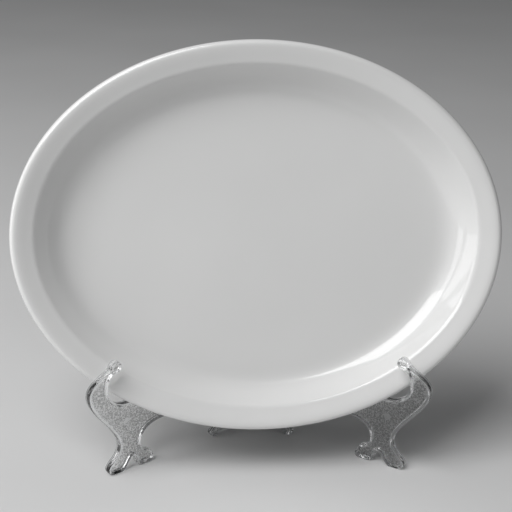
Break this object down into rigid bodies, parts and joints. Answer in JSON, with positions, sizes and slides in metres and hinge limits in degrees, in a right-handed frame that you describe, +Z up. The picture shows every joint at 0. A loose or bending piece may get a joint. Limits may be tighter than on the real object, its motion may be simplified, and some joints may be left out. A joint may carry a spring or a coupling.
{
  "type": "oval serving platter on a display stand",
  "caption": "Oval glazed china platter with a wide border and shallow well, leaning in a clear folding display stand made of two hinged side frames.",
  "frame": {"origin": "on the table, under the middle of the whole object's bounding box", "axes": "+X to the right as seen from the front, along the platter's length; +Y to the back; +Z up"},
  "size_m": [0.254, 0.0752, 0.2192],
  "materials": {
    "glazed_china": "glossy clear glaze over white china",
    "clear_plastic": "clear moulded styrene, polished edges and a pebbled panel"
  },
  "bodies": {
    "left_frame": {"left_frame": "clear_plastic"},
    "right_frame": {"right_frame": "clear_plastic"},
    "platter": {"platter": "glazed_china"}
  },
  "joints": [
    {"name": "stand_fold", "type": "hinge", "parent": "left_frame", "child": "right_frame", "pos_m": [0, 0.0222, 0.068], "axis": [0, 0, 1], "range_deg": [0, 1.5]},
    {"name": "platter_lift", "type": "slide", "parent": "left_frame", "child": "platter", "axis": [0, 0.225, 0.9744], "range_m": [0, 0.12]}
  ]
}
